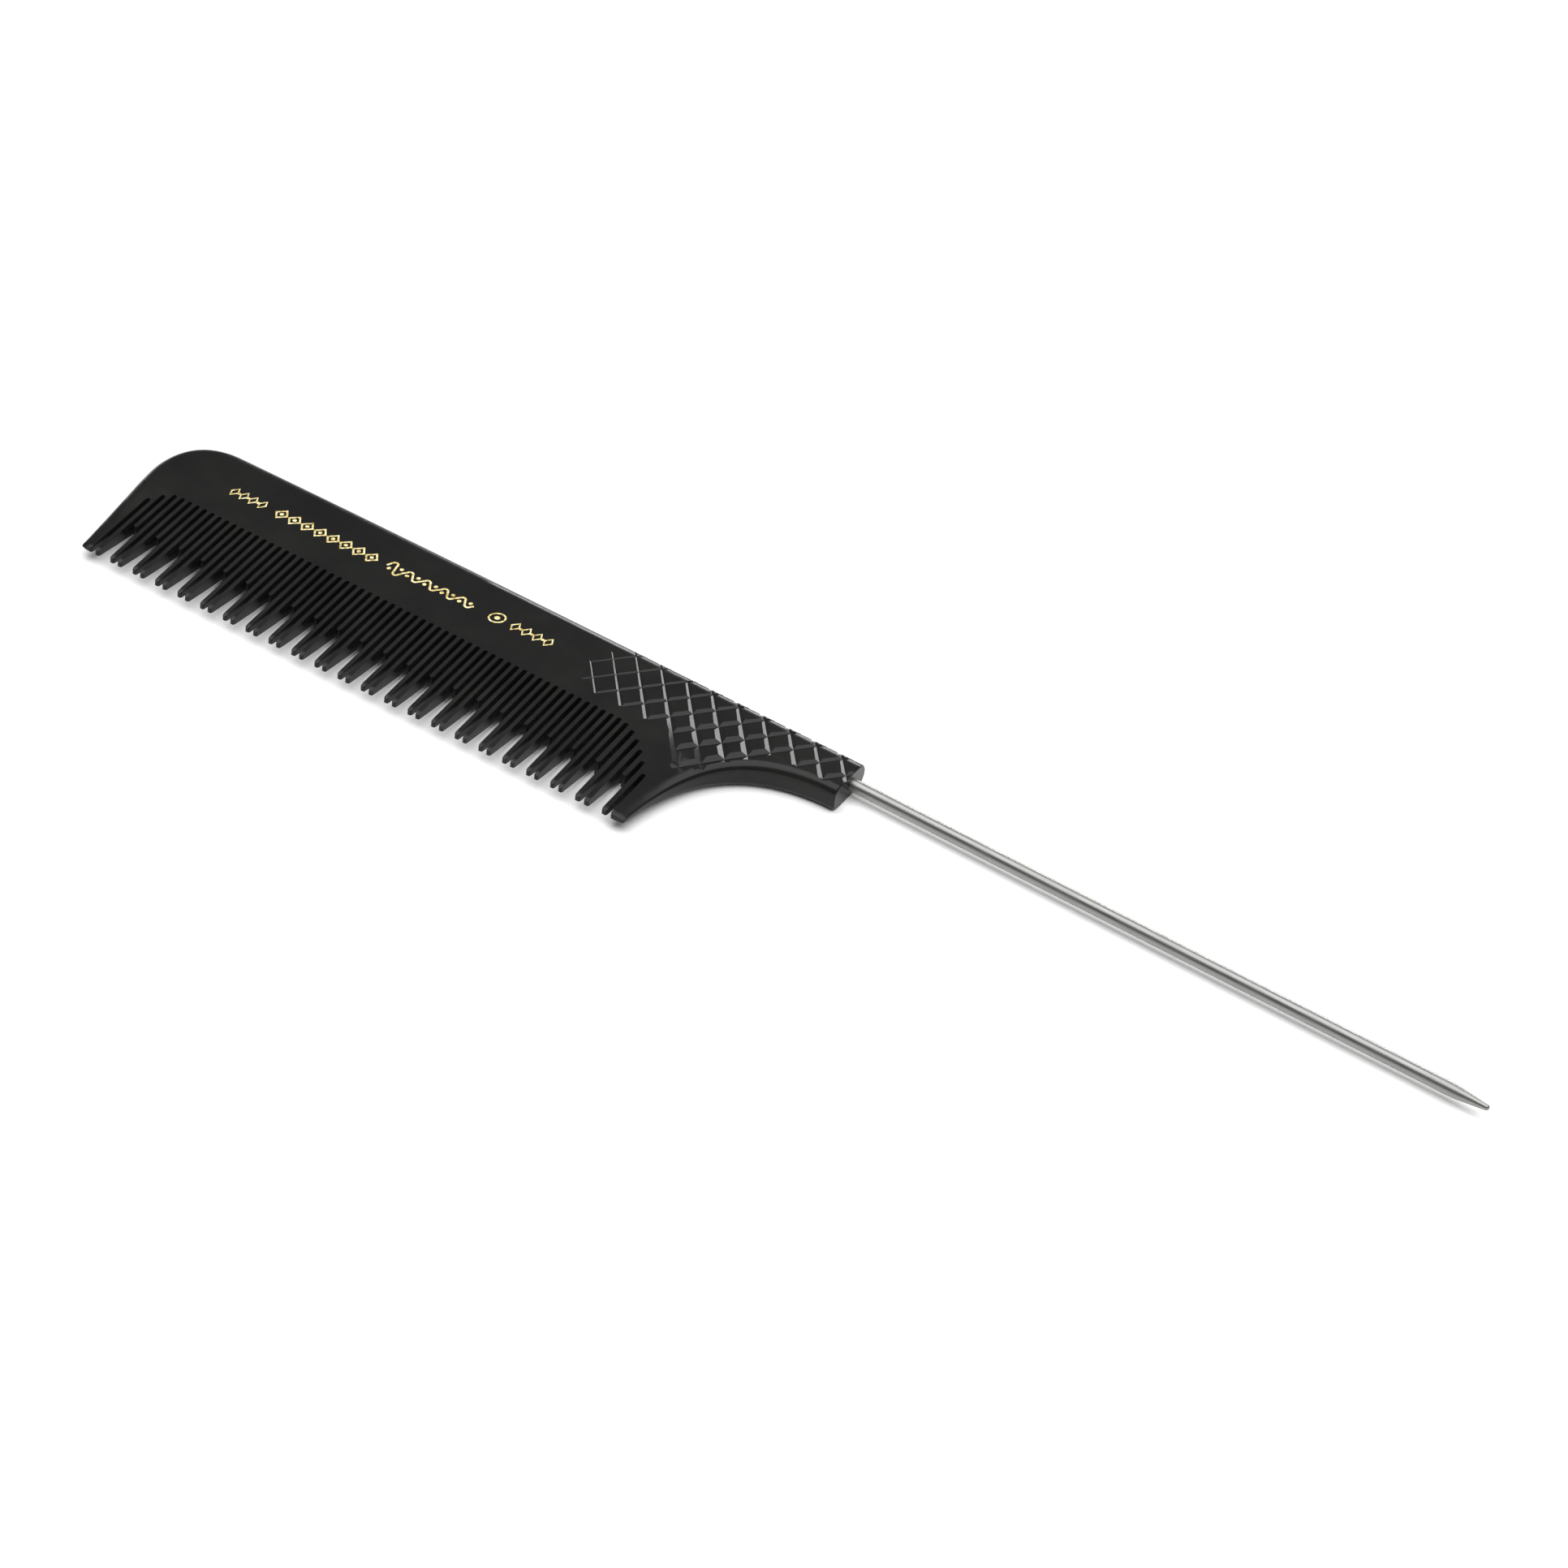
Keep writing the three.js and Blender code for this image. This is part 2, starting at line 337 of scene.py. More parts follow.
def root_y(x):
    beside_crown = CROWN_FALL * max(0, CROWN_SIDE_X - x) ** CROWN_FALL_POWER
    beside_grip = GRIP_FALL * max(0, x - GRIP_SIDE_X) ** GRIP_FALL_POWER
    return ROOT_ROW_Y - beside_crown - beside_grip


def slot_outline(x):
    """Round root, straight sides, and a mouth that flares to round the tips beside it."""
    half = SLOT_WIDTH / 2
    root = root_y(x) - half
    bow = CIRCLE_HANDLE * half
    mouth = TIP_LINE_Y + TIP_ROUND * 1.6
    wide = half + TIP_ROUND
    tip = TIP_LINE_Y - 0.02
    turn = 0.16
    return [
        (x, root + half, (x + bow, root + half), (x - bow, root + half)),
        (x - half, root, (x - half, root + bow), (x - half, root - 1)),
        (x - half, mouth, (x - half, mouth + 1), (x - half, mouth - 0.25)),
        (x - wide, tip, (x - wide + turn, TIP_LINE_Y), (x - wide, PAST_TIPS_Y)),
        (x - wide, PAST_TIPS_Y),
        (x + wide, PAST_TIPS_Y),
        (x + wide, tip, (x + wide, PAST_TIPS_Y), (x + wide - turn, TIP_LINE_Y)),
        (x + half, mouth, (x + half, mouth - 0.25), (x + half, mouth + 1)),
        (x + half, root, (x + half, root - 1), (x + half, root + bow)),
    ]


def gap_outline(left, right):
    """The space left by a short tooth, whose tip keeps rounded corners."""
    half = SLOT_WIDTH / 2
    low = SHORT_TIP_Y
    lift = low + 0.3
    turn = 0.16
    side_left = left + half
    side_right = right - half
    return [
        (left, PAST_TIPS_Y),
        (right, PAST_TIPS_Y),
        (right, lift),
        (side_right, lift, (right, lift), (side_right, lift - 0.15)),
        (side_right - turn, low, (side_right - 0.08, low), (side_right - 0.2, low)),
        (side_left + turn, low, (side_left + 0.2, low), (side_left + 0.08, low)),
        (side_left, lift, (side_left, lift - 0.15), (left, lift)),
        (left, lift),
    ]


slots = [outline_plate("slot", slot_outline(x), THROUGH, SLOT_CURVE_STEPS) for x in slot_x]
boolean(comb, "DIFFERENCE", join(slots))
short_gaps = [
    outline_plate("short_gap", gap_outline(*slot_x[i : i + 2]), THROUGH, SLOT_CURVE_STEPS)
    for i in range(1, len(slot_x) - 1, SHORT_TOOTH_EVERY)
]
boolean(comb, "DIFFERENCE", join(short_gaps))


# ---------------------------------------------------------------------------------------------
# Bore: a blind hole drilled into the sawn end of the grip, along the pin's slightly leaning
# line. The pin is pressed into it and glued, so it is only a little wider than the wire.
# ---------------------------------------------------------------------------------------------
PIN_RADIUS = 1.0 * MM
BORE_RADIUS = 1.02 * MM
BORE_DEPTH = 28 * MM
PIN_STEPS = 64
PIN_EXIT_Y = 11.75 * MM
PIN_LEAN_Y = -1.15 * MM
pin_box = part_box("tail_pin")
pin_exit = Vector((END_FACE_X, PIN_EXIT_Y, MIDDLE_Z))
pin_point = Vector((pin_box[1].x, pin_exit.y + PIN_LEAN_Y, MIDDLE_Z))
pin_axis = (pin_point - pin_exit).normalized()


def rod(radius, start, end):
    """A round rod between two places, ready for edit mode."""
    deselect_everything()
    bpy.ops.mesh.primitive_cylinder_add(
        vertices=PIN_STEPS,
        radius=radius,
        depth=(end - start).length,
        location=(start + end) / 2,
        rotation=(end - start).to_track_quat("Z", "Y").to_euler(),
    )
    return settle(bpy.context.object, "rod")


bore_bottom = pin_exit - pin_axis * BORE_DEPTH
past_end_face = pin_exit + pin_axis * 2 * MM
boolean(comb, "DIFFERENCE", rod(BORE_RADIUS, bore_bottom, past_end_face))


# ---------------------------------------------------------------------------------------------
# Knurl: two families of V grooves that cross as diamonds on both faces of the grip and run
# round its back. They are pressed in: fine lines at first, then broad flanks towards the pin.
# ---------------------------------------------------------------------------------------------
LATTICE_ORIGIN = (-31.0, 5.5)
LATTICE_HALF_STEP = (2.15, 2.6)
SPINE_RADIUS = THICKNESS / 2
WRAP_Y = SPINE_Y - SPINE_RADIUS
UNDERSIDE_RUN = 9 * MM
PAST_SPINE = 14
BAR_STEPS = 9

# Half of a groove's width in millimetres: fine at FINE_X, full grown GROWTH_RUN further on, and
# narrower from FADE_Y up to the spine.
FINE_HALF_WIDTH = 0.17
GROWTH = 0.64
FINE_X = -32
GROWTH_RUN = 22
FADE_Y = 6.5
FADE_RUN = 6.5
SPINE_FADE = 0.6

# The bars of the two families differ a little in height and in their turns round the spine, so
# that no face of one falls in line with a face of the other where they cross.
RISING_HEIGHT, RISING_TURNS = 0.45, 8
FALLING_HEIGHT, FALLING_TURNS = 0.43, 7

# Where each groove starts, as the number of the crossing groove. Rising grooves are numbered
# along the comb and start on the zigzag below; falling ones end on it, a little past a crossing.
rising_starts = {-1: 0, 0: -0.5, 1: 0, 2: 1, 3: 2, 4: 3, 5: 3, 6: 2.7, 7: 7.9, 8: 8.9, 9: 9.9}
falling_ends = {0: 1, 1: 2, 2: 3, 3: 6.4, 4: 6.4, 5: 6.25, 6: 6.3, 7: 6.2, 8: 7, 9: 8, 10: 9}
falling_starts = {0: -1.1, 1: -1.5}


def lattice_place(rising, falling):
    """Where two grooves cross, in millimetres."""
    x = LATTICE_ORIGIN[0] + LATTICE_HALF_STEP[0] * (rising + falling)
    y = LATTICE_ORIGIN[1] + LATTICE_HALF_STEP[1] * (falling - rising)
    return x, y


def groove_half_width(x, y):
    """Fine at the crown end, broad by the pin, and fading towards the spine."""
    grown = min(1, max(0, (x - FINE_X) / GROWTH_RUN))
    to_spine = min(1, max(0, (y - FADE_Y) / FADE_RUN))
    return (FINE_HALF_WIDTH + GROWTH * grown * (1 - SPINE_FADE * to_spine)) * MM


def push_end(bar, move, growth=1):
    """Pushes the chosen end of a bar on and makes it larger or smaller."""
    bpy.ops.mesh.extrude_region_move(TRANSFORM_OT_translate={"value": move})
    shape = bmesh.from_edit_mesh(bar.data)
    chosen = [vert.co for vert in shape.verts if vert.select]
    middle = sum(chosen, Vector()) / len(chosen)
    bpy.ops.transform.resize(value=[growth] * 3, center_override=middle)


def turn_end(bar, angle):
    """Turns the chosen end of a bar round the middle of the spine's rounding."""
    shape = bmesh.from_edit_mesh(bar.data)
    chosen = [vert for vert in shape.verts if vert.select]
    centre = Vector((0, WRAP_Y, MIDDLE_Z))
    bmesh.ops.rotate(shape, cent=centre, matrix=Matrix.Rotation(-angle, 3, "X"), verts=chosen)
    bmesh.update_edit_mesh(bar.data)


def groove_bar(low, high, height, turns):
    """A bar on edge along one groove, from its low end over the face and round the back."""
    low = Vector((*low, THICKNESS / MM)) * MM
    high = Vector((*high, THICKNESS / MM)) * MM
    wraps = high.y > WRAP_Y - 0.3 * MM
    if wraps:
        high = low + (high - low) * ((WRAP_Y - low.y) / (high.y - low.y))
    stations = [low.lerp(high, step / BAR_STEPS) for step in range(BAR_STEPS + 1)]
    widths = [groove_half_width(place.x / MM, place.y / MM) for place in stations]
    deselect_everything()
    bpy.ops.mesh.primitive_cone_add(
        vertices=4,
        radius1=widths[0],
        radius2=widths[1],
        depth=(stations[1] - low).length,
        location=(0, 0, 0),
    )
    bar = bpy.context.object
    along = (high - low).normalized()
    across = Vector((0, 0, 1)).cross(along)
    turn = Matrix((across, Vector((0, 0, -1)), along)).transposed()
    squashed = turn @ Matrix.Diagonal((1, height, 1))
    bar.matrix_world = Matrix.Translation((low + stations[1]) / 2) @ squashed.to_4x4()
    settle(bar, "groove_bar")
    start_edit(bar)
    end_place = stations[1]
    choose(bar, "FACE", lambda face: (face.calc_center_median() - end_place).length < 0.02 * MM)
    for i in range(2, len(stations)):
        push_end(bar, stations[i] - stations[i - 1], widths[i] / widths[i - 1])
    if wraps:
        step = math.pi / turns
        shift = SPINE_RADIUS * step * along.x / along.y
        for _ in range(turns):
            push_end(bar, (shift, 0, 0))
            turn_end(bar, step)
        push_end(bar, Vector((along.x, -along.y, 0)) * UNDERSIDE_RUN)
    grind(bar)
    bpy.ops.mesh.select_all(action="SELECT")
    bpy.ops.mesh.normals_make_consistent(inside=False)
    end_edit()
    return bar


rising_bars = []
for number, start in rising_starts.items():
    low, high = lattice_place(number, start), lattice_place(number, number + PAST_SPINE)
    rising_bars.append(groove_bar(low, high, RISING_HEIGHT, RISING_TURNS))
boolean(comb, "DIFFERENCE", join(rising_bars))
falling_bars = []
for number, end in falling_ends.items():
    start = falling_starts.get(number, number - PAST_SPINE)
    low, high = lattice_place(end, number), lattice_place(start, number)
    falling_bars.append(groove_bar(low, high, FALLING_HEIGHT, FALLING_TURNS))
boolean(comb, "DIFFERENCE", join(falling_bars))

# Buffed surfaces run smoothly into each other; the ground faces stay flat up to their crease.
BUFFED_ANGLE = math.radians(20)
NEARLY_LEVEL = 0.98
CREASE_ANGLE = math.radians(1)
pick(comb)
bpy.ops.object.shade_smooth_by_angle(angle=BUFFED_ANGLE)
start_edit(comb)


def on_ground_crease(edge):
    """Edges between two nearly level faces whose slopes differ."""
    if len(edge.link_faces) != 2:
        return False
    first, second = (face.normal for face in edge.link_faces)
    level = abs(first.z) > NEARLY_LEVEL and abs(second.z) > NEARLY_LEVEL
    return level and first.angle(second) > CREASE_ANGLE


choose(comb, "EDGE", on_ground_crease)
bpy.ops.mesh.mark_sharp()
end_edit()
apply_modifier(comb, "WEIGHTED_NORMAL", weight=100, keep_sharp=True)


def linear(hex_colour):
    """An sRGB hex colour as linear values with full alpha."""
    values = [int(hex_colour[i : i + 2], 16) / 255 for i in (1, 3, 5)]
    return [v / 12.92 if v <= 0.04045 else ((v + 0.055) / 1.055) ** 2.4 for v in values] + [1.0]


def add_node(material, kind, inputs=None, links=None, **settings):
    """Adds one node: its settings, its own input values, and links from (node, output)."""
    tree = material.node_tree
    node = tree.nodes.new(kind)
    for key, value in settings.items():
        setattr(node, key, value)
    for key, value in (inputs or {}).items():
        node.inputs[key].default_value = value
    for key, (source, output) in (links or {}).items():
        tree.links.new(source.outputs[output], node.inputs[key])
    return node


def new_material(name):
    material = bpy.data.materials.new(name)
    material.use_nodes = True
    material.node_tree.nodes.clear()
    return material


def ramp(material, source, output, stops):
    """A colour ramp over (position, colour) stops."""
    node = add_node(material, "ShaderNodeValToRGB", links={"Fac": (source, output)})
    elements = node.color_ramp.elements
    while len(elements) < len(stops):
        elements.new(0.5)
    for element, (position, colour) in zip(elements, stops):
        element.position = position
        element.color = colour
    return node


# Ebonite, vulcanised until hard and buffed on a mop: near black, with a soft gloss that is a
# little cloudy, fine buffing lines along the comb, and a trace of brown bloom. Real buffing
# lines and grain are a few hundredths of a millimetre across and are drawn coarser to show.
BUFFING_LINE_MM = 0.12
CLOUD_MM = 9.0
GRAIN_MM = 0.16
ebonite = new_material("buffed_ebonite_hard_rubber")
place = add_node(ebonite, "ShaderNodeTexCoord")
clouds = add_node(
    ebonite,
    "ShaderNodeTexNoise",
    {"Scale": 1000 / CLOUD_MM, "Detail": 3.0, "Roughness": 0.55},
    {"Vector": (place, "Object")},
)
along_comb = add_node(
    ebonite,
    "ShaderNodeMapping",
    {"Scale": (0.02, 1.0, 1.0)},
    {"Vector": (place, "Object")},
)
buffing = add_node(
    ebonite,
    "ShaderNodeTexNoise",
    {"Scale": 1000 / BUFFING_LINE_MM, "Detail": 2.0},
    {"Vector": (along_comb, "Vector")},
)
grain = add_node(
    ebonite,
    "ShaderNodeTexNoise",
    {"Scale": 1000 / GRAIN_MM, "Detail": 4.0, "Roughness": 0.65},
    {"Vector": (place, "Object")},
)
tone = ramp(
    ebonite, clouds, "Fac", [(0.3, linear("#181818")), (0.7, linear("#1d1d1c"))]
)
gloss_clouds = add_node(
    ebonite,
    "ShaderNodeMapRange",
    {"From Min": 0.3, "From Max": 0.7, "To Min": 0.17, "To Max": 0.22},
    {"Value": (clouds, "Fac")},
)
gloss = add_node(
    ebonite,
    "ShaderNodeMath",
    {1: 0.05},
    {0: (buffing, "Fac"), 2: (gloss_clouds, "Result")},
    operation="MULTIPLY_ADD",
)
fine_bump = add_node(
    ebonite,
    "ShaderNodeBump",
    {"Strength": 0.06, "Distance": 0.02 * MM},
    {"Height": (grain, "Fac")},
)
line_bump = add_node(
    ebonite,
    "ShaderNodeBump",
    {"Strength": 0.03, "Distance": 0.01 * MM},
    {"Height": (buffing, "Fac"), "Normal": (fine_bump, "Normal")},
)
ebonite_skin = add_node(
    ebonite,
    "ShaderNodeBsdfPrincipled",
    {"IOR": 1.5, "Specular IOR Level": 0.19},
    {
        "Base Color": (tone, "Color"),
        "Roughness": (gloss, "Value"),
        "Normal": (line_bump, "Normal"),
    },
)
add_node(ebonite, "ShaderNodeOutputMaterial", links={"Surface": (ebonite_skin, "BSDF")})
comb.data.materials.clear()
comb.data.materials.append(ebonite)

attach(comb, "root")
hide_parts("comb_body")


# ---------------------------------------------------------------------------------------------
# Tail pin: drawn stainless steel wire, pressed into the grip with its end ground to a short
# cone and then rounded off blunt, so that it parts hair without scratching the scalp.
# ---------------------------------------------------------------------------------------------
PIN_ROOT = 25 * MM
POINT_LENGTH = 6 * MM
POINT_RADIUS = 0.45 * MM
NOSE_STEPS = 6
root_place = pin_exit - pin_axis * PIN_ROOT
shoulder = pin_point - pin_axis * POINT_LENGTH
pin = rod(PIN_RADIUS, root_place, shoulder)
start_edit(pin)
choose(pin, "FACE", lambda face: (face.calc_center_median() - shoulder).length < 0.1 * MM)


def draw_out(forward, new_radius, old_radius, centre):
    """Pushes the chosen end of the pin forward and shrinks it round its new middle."""
    bpy.ops.mesh.extrude_region_move(TRANSFORM_OT_translate={"value": pin_axis * forward})
    bpy.ops.transform.resize(value=[new_radius / old_radius] * 3, center_override=centre)


# The ground cone swells out of the wire in a soft shoulder, then runs straight.
radius = PIN_RADIUS
reached = 0.0
cone = [(0.8 * MM, 0.98), (1.6 * MM, 0.92), (POINT_LENGTH - POINT_RADIUS, 0.47)]
for distance, share in cone:
    new_radius = share * PIN_RADIUS
    draw_out(distance - reached, new_radius, radius, shoulder + pin_axis * distance)
    radius = new_radius
    reached = distance
nose_radius = radius
for step in range(1, NOSE_STEPS):
    angle = step / NOSE_STEPS * math.pi / 2
    distance = POINT_LENGTH - POINT_RADIUS + POINT_RADIUS * math.sin(angle)
    new_radius = nose_radius * math.cos(angle)
    draw_out(distance - reached, new_radius, radius, shoulder + pin_axis * distance)
    radius = new_radius
    reached = distance
bpy.ops.mesh.extrude_region_move(
    TRANSFORM_OT_translate={"value": pin_axis * (POINT_LENGTH - reached)}
)
bpy.ops.mesh.merge(type="CENTER")
bpy.ops.mesh.select_all(action="SELECT")
bpy.ops.mesh.normals_make_consistent(inside=False)
end_edit()
settle(pin, "steel_tail_pin")
pick(pin)
bpy.ops.object.shade_smooth_by_angle(angle=math.radians(30))

# Drawn stainless wire: grey steel with a soft sheen, die lines along it and small dull patches.
# Real die lines are a few hundredths of a millimetre apart and are drawn coarser to show.
DIE_LINE_MM = 0.1
PATCH_MM = 3.0
steel = new_material("drawn_stainless_steel_wire")
place = add_node(steel, "ShaderNodeTexCoord")
along_pin = add_node(
    steel,
    "ShaderNodeMapping",
    {"Scale": (0.015, 1.0, 1.0)},
    {"Vector": (place, "Object")},
)
die_lines = add_node(
    steel,
    "ShaderNodeTexNoise",
    {"Scale": 1000 / DIE_LINE_MM, "Detail": 3.0},
    {"Vector": (along_pin, "Vector")},
)
patches = add_node(
    steel,
    "ShaderNodeTexNoise",
    {"Scale": 1000 / PATCH_MM, "Detail": 3.0},
    {"Vector": (place, "Object")},
)
steel_tone = ramp(
    steel, die_lines, "Fac", [(0.3, linear("#828280")), (0.7, linear("#91918f"))]
)
steel_gloss = add_node(
    steel,
    "ShaderNodeMapRange",
    {"From Min": 0.3, "From Max": 0.7, "To Min": 0.36, "To Max": 0.43},
    {"Value": (patches, "Fac")},
)
die_bump = add_node(
    steel,
    "ShaderNodeBump",
    {"Strength": 0.03, "Distance": 0.01 * MM},
    {"Height": (die_lines, "Fac")},
)
steel_skin = add_node(
    steel,
    "ShaderNodeBsdfPrincipled",
    {"Metallic": 1.0},
    {
        "Base Color": (steel_tone, "Color"),
        "Roughness": (steel_gloss, "Result"),
        "Normal": (die_bump, "Normal"),
    },
)
add_node(steel, "ShaderNodeOutputMaterial", links={"Surface": (steel_skin, "BSDF")})
pin.data.materials.clear()
pin.data.materials.append(steel)

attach(pin, "root")
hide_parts("tail_pin")


# ---------------------------------------------------------------------------------------------
# Ornament: gold foil stamped hot into the upper face in a row beside the spine. It has plain
# patterns only: lozenges, diamonds with dots, a vine with berries, and a ring with a dot.
# ---------------------------------------------------------------------------------------------
ROW_START = Vector((-97.0, 6.65))
ROW_SLANT = 0.0195
STROKE_STEPS = 6
FOIL_RISE = 0.03
FOIL_LEAN = 0.18
FOIL_SMOOTH_ANGLE = math.radians(60)

# Hot stamped foil: a thin cream gold metal film, patchy where the stamp bit less and wrinkled
# by the stamp's heat. Its colour follows the wrinkle noise from dark gold up to a near white
# cream, whose palest specks are painted highlight glints.
FOIL_WRINKLE_MM = 0.35
foil = new_material("hot_stamped_gold_foil")
place = add_node(foil, "ShaderNodeTexCoord")
wrinkles = add_node(
    foil,
    "ShaderNodeTexNoise",
    {"Scale": 1000 / FOIL_WRINKLE_MM, "Detail": 3.0, "Roughness": 0.6},
    {"Vector": (place, "Object")},
)
# The near white cream stop paints highlight glints into the foil's colour.
foil_tone_and_painted_glints = ramp(
    foil,
    wrinkles,
    "Fac",
    [(0.34, linear("#9c8344")), (0.5, linear("#e6d592")), (0.64, linear("#fff4d2"))],
)
foil_gloss = add_node(
    foil,
    "ShaderNodeMapRange",
    {"From Min": 0.3, "From Max": 0.7, "To Min": 0.62, "To Max": 0.48},
    {"Value": (wrinkles, "Fac")},
)
foil_bump = add_node(
    foil,
    "ShaderNodeBump",
    {"Strength": 0.5, "Distance": 0.05 * MM},
    {"Height": (wrinkles, "Fac")},
)
foil_skin = add_node(
    foil,
    "ShaderNodeBsdfPrincipled",
    {"Metallic": 1.0},
    {
        "Base Color": (foil_tone_and_painted_glints, "Color"),
        "Roughness": (foil_gloss, "Result"),
        "Normal": (foil_bump, "Normal"),
    },
)
add_node(foil, "ShaderNodeOutputMaterial", links={"Surface": (foil_skin, "BSDF")})


def on_row(x, y):
    """A place on the row, y above its middle line, with the row's slant and forward lean."""
    return x + y * FOIL_LEAN, ROW_START.y + (x - ROW_START.x) * ROW_SLANT + y


def stroke(points, width, closed=False, smooth=False):
    """One drawn stroke of foil through places on the row, flattened onto the face."""
    deselect_everything()
    bpy.ops.curve.primitive_bezier_curve_add(location=(0, 0, 0))
    line = bpy.context.object
    line.data.dimensions = "3D"
    line.data.resolution_u = STROKE_STEPS
    line.data.bevel_depth = width / 2 * MM
    line.data.bevel_resolution = 1
    line.data.use_fill_caps = True
    path = line.data.splines[0]
    path.bezier_points.add(len(points) - 2)
    path.use_cyclic_u = closed
    for point, (x, y) in zip(path.bezier_points, points):
        point.co = Vector((*on_row(x, y), 0)) * MM
        point.handle_left_type = point.handle_right_type = "AUTO" if smooth else "VECTOR"
    pick(line)
    bpy.ops.object.convert(target="MESH")
    line = bpy.context.object
    line.scale.z = FOIL_RISE / (width / 2)
    line.location.z = THICKNESS
    settle(line, "stroke")
    start_edit(line)
    bpy.ops.mesh.select_all(action="SELECT")
    bpy.ops.mesh.remove_doubles(threshold=0.0001 * MM)
    bpy.ops.mesh.normals_make_consistent(inside=False)
    end_edit()
    return line


def lozenge(x, half_width, half_height, width):
    corners = [(x - half_width, 0), (x, -half_height), (x + half_width, 0), (x, half_height)]
    return stroke(corners, width, closed=True)


def ring(x, y, radius, width):
    turn = [step * math.pi / 4 for step in range(8)]
    circle = [(x + radius * math.cos(a), y + radius * math.sin(a)) for a in turn]
    return stroke(circle, width, closed=True, smooth=True)


def dot(x, y, radius):
    return ring(x, y, radius / 2, radius)


def finish_foil(strokes, name):
    """Makes one piece of foil from its strokes."""
    piece = join(strokes)
    settle(piece, name)
    pick(piece)
    bpy.ops.object.shade_smooth_by_angle(angle=FOIL_SMOOTH_ANGLE)
    piece.data.materials.clear()
    piece.data.materials.append(foil)
    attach(piece, "root")
    return piece


# Sizes of the patterns are in millimetres, widths of lozenges and diamonds in shares of a step.
SMALL_LOZENGES = 4
SMALL_HALF_WIDTH, SMALL_HALF_HEIGHT, SMALL_STROKE, SMALL_DOT = 0.34, 0.95, 0.3, 0.24


def small_lozenges(start, end, name):
    """A short border of open lozenges with dots between them."""
    step = (end - start) / SMALL_LOZENGES
    strokes = [
        lozenge(start + (i + 0.5) * step, SMALL_HALF_WIDTH * step, SMALL_HALF_HEIGHT, SMALL_STROKE)
        for i in range(SMALL_LOZENGES)
    ]
    strokes += [dot(start + i * step, 0, SMALL_DOT) for i in range(1, SMALL_LOZENGES)]
    return finish_foil(strokes, name)


small_lozenges(-95.4, -88.9, "foil_border_by_crown")
small_lozenges(-46.7, -39.3, "foil_border_by_grip")

DIAMONDS = 8
DIAMONDS_START, DIAMONDS_END = -87.4, -69.4
DIAMOND_HALF_WIDTH, DIAMOND_HALF_HEIGHT, DIAMOND_STROKE, DIAMOND_DOT = 0.41, 1.1, 0.4, 0.3
diamond_step = (DIAMONDS_END - DIAMONDS_START) / DIAMONDS
diamond_strokes = []
for i in range(DIAMONDS):
    x = DIAMONDS_START + (i + 0.5) * diamond_step
    half_width = DIAMOND_HALF_WIDTH * diamond_step
    diamond_strokes.append(lozenge(x, half_width, DIAMOND_HALF_HEIGHT, DIAMOND_STROKE))
    diamond_strokes.append(dot(x, 0, DIAMOND_DOT))
finish_foil(diamond_strokes, "foil_diamond_band")

# The vine starts with a taller curl, and a berry stands in each of its bays.
VINE_WAVES = 5
VINE_START, VINE_END = -67.9, -52.9
CURL_HEIGHT, WAVE_HEIGHT = 1.25, 0.8
VINE_STROKE = 0.32
BERRY, BERRY_PLACE = 0.3, 0.35
wave = (VINE_END - VINE_START) / VINE_WAVES
vine_points = []
vine_strokes = []
for quarter in range(4 * VINE_WAVES + 1):
    tall = WAVE_HEIGHT if quarter > 3 else CURL_HEIGHT
    x = VINE_START + quarter * wave / 4
    vine_points.append((x, tall * math.sin(quarter * math.pi / 2)))
    if quarter % 2:
        berry_y = -BERRY_PLACE * tall * math.sin(quarter * math.pi / 2)
        vine_strokes.append(dot(x, berry_y, BERRY))
vine_strokes.append(stroke(vine_points, VINE_STROKE, smooth=True))
finish_foil(vine_strokes, "foil_vine")

RING_X = -48.9
RING_RADIUS, RING_STROKE, RING_DOT = 1.1, 0.26, 0.4
ring_strokes = [ring(RING_X, 0, RING_RADIUS, RING_STROKE), dot(RING_X, 0, RING_DOT)]
finish_foil(ring_strokes, "foil_ring")


# ---------------------------------------------------------------------------------------------
# Set: a sheet of white paper under the comb, a softbox overhead and a lit strip behind. The
# camera stands high on the teeth side, towards the pin's end, and looks down across the comb.
# ---------------------------------------------------------------------------------------------
PAPER_SIZE = 6
deselect_everything()
bpy.ops.mesh.primitive_plane_add(size=PAPER_SIZE, location=(0, 0, 0))
paper = settle(bpy.context.object, "paper")

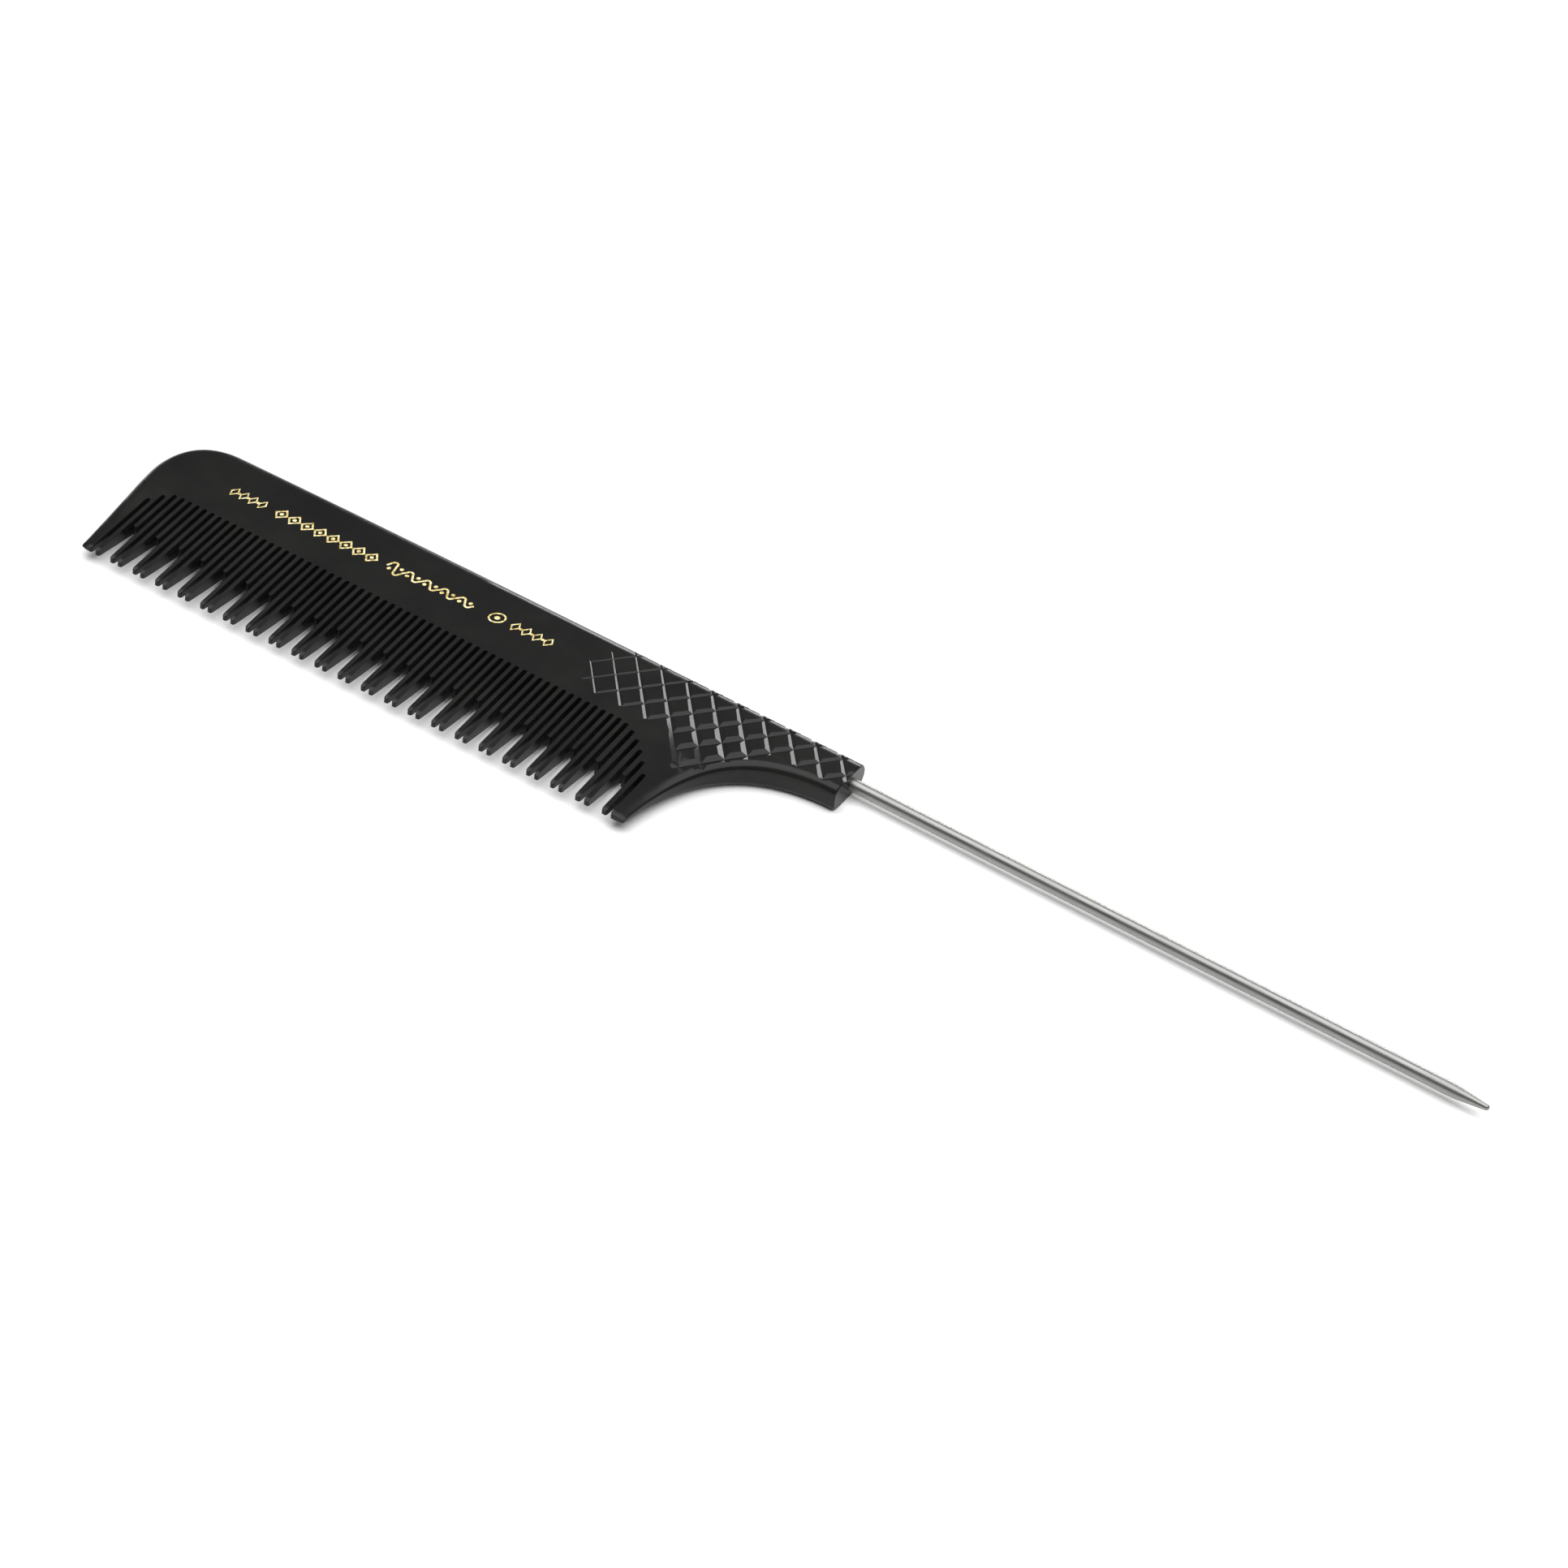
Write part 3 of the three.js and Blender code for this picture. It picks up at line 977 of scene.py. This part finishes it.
# Matt white paper: very pale and dull, with a faint unevenness from its fibres.
FIBRES_PER_METRE = 900.0
white_paper = new_material("matt_white_paper")
paper_place = add_node(white_paper, "ShaderNodeTexCoord")
fibres = add_node(
    white_paper,
    "ShaderNodeTexNoise",
    {"Scale": FIBRES_PER_METRE, "Detail": 2.0},
    {"Vector": (paper_place, "Object")},
)
paper_tone = ramp(
    white_paper, fibres, "Fac", [(0.3, linear("#fbfafa")), (0.7, linear("#fdfcfc"))]
)
paper_skin = add_node(
    white_paper,
    "ShaderNodeBsdfPrincipled",
    {"Roughness": 0.9, "Specular IOR Level": 0.1},
    {"Base Color": (paper_tone, "Color")},
)
add_node(white_paper, "ShaderNodeOutputMaterial", links={"Surface": (paper_skin, "BSDF")})
paper.data.materials.clear()
paper.data.materials.append(white_paper)

CAMERA_PLACE = Vector((216.32, -433.59, 422.01)) * MM
CAMERA_AIM = Vector((0.93, 5.71, 2.15)) * MM
CAMERA_ROLL = math.radians(8.905)
SENSOR_WIDTH = 36
LENS = 106.866
deselect_everything()
bpy.ops.object.camera_add(location=CAMERA_PLACE)
camera = bpy.context.object
look = (CAMERA_AIM - CAMERA_PLACE).to_track_quat("-Z", "Y").to_matrix().to_4x4()
camera.matrix_world = Matrix.Translation(CAMERA_PLACE) @ look @ Matrix.Rotation(CAMERA_ROLL, 4, "Z")
camera.data.sensor_width = SENSOR_WIDTH
camera.data.lens = LENS
camera.data.clip_start = 0.01
camera.data.clip_end = 20
bpy.context.scene.camera = camera


def softbox(name, place, aim, size, power):
    """A rectangular soft light at a place in metres, turned to an aim, with its power in watts."""
    deselect_everything()
    bpy.ops.object.light_add(type="AREA", location=place)
    lamp = bpy.context.object
    lamp.name = name
    lamp.data.shape = "RECTANGLE"
    lamp.data.size, lamp.data.size_y = size
    lamp.data.energy = power
    lamp.rotation_euler = (Vector(aim) - Vector(place)).to_track_quat("-Z", "Y").to_euler()


# The main light hangs overhead, a low strip stands behind, and the rest of the room is dim, so
# the black faces stay dark while the spine's rim and the grooves catch the strip.
softbox("main_softbox", (0, -0.08, 1.2), (0, -0.08, 0), (2.4, 1.35), 32)
softbox("back_strip", (0.05, 1.8, 0.58), (0.05, 0, 0), (1.9, 0.42), 26)

bpy.context.scene.view_settings.view_transform = "Standard"
ROOM_LIGHT = 0.14
world = bpy.data.worlds.new("studio")
world.use_nodes = True
backdrop = world.node_tree.nodes["Background"]
backdrop.inputs["Color"].default_value = linear("#f2f2f2")
backdrop.inputs["Strength"].default_value = ROOM_LIGHT
bpy.context.scene.world = world
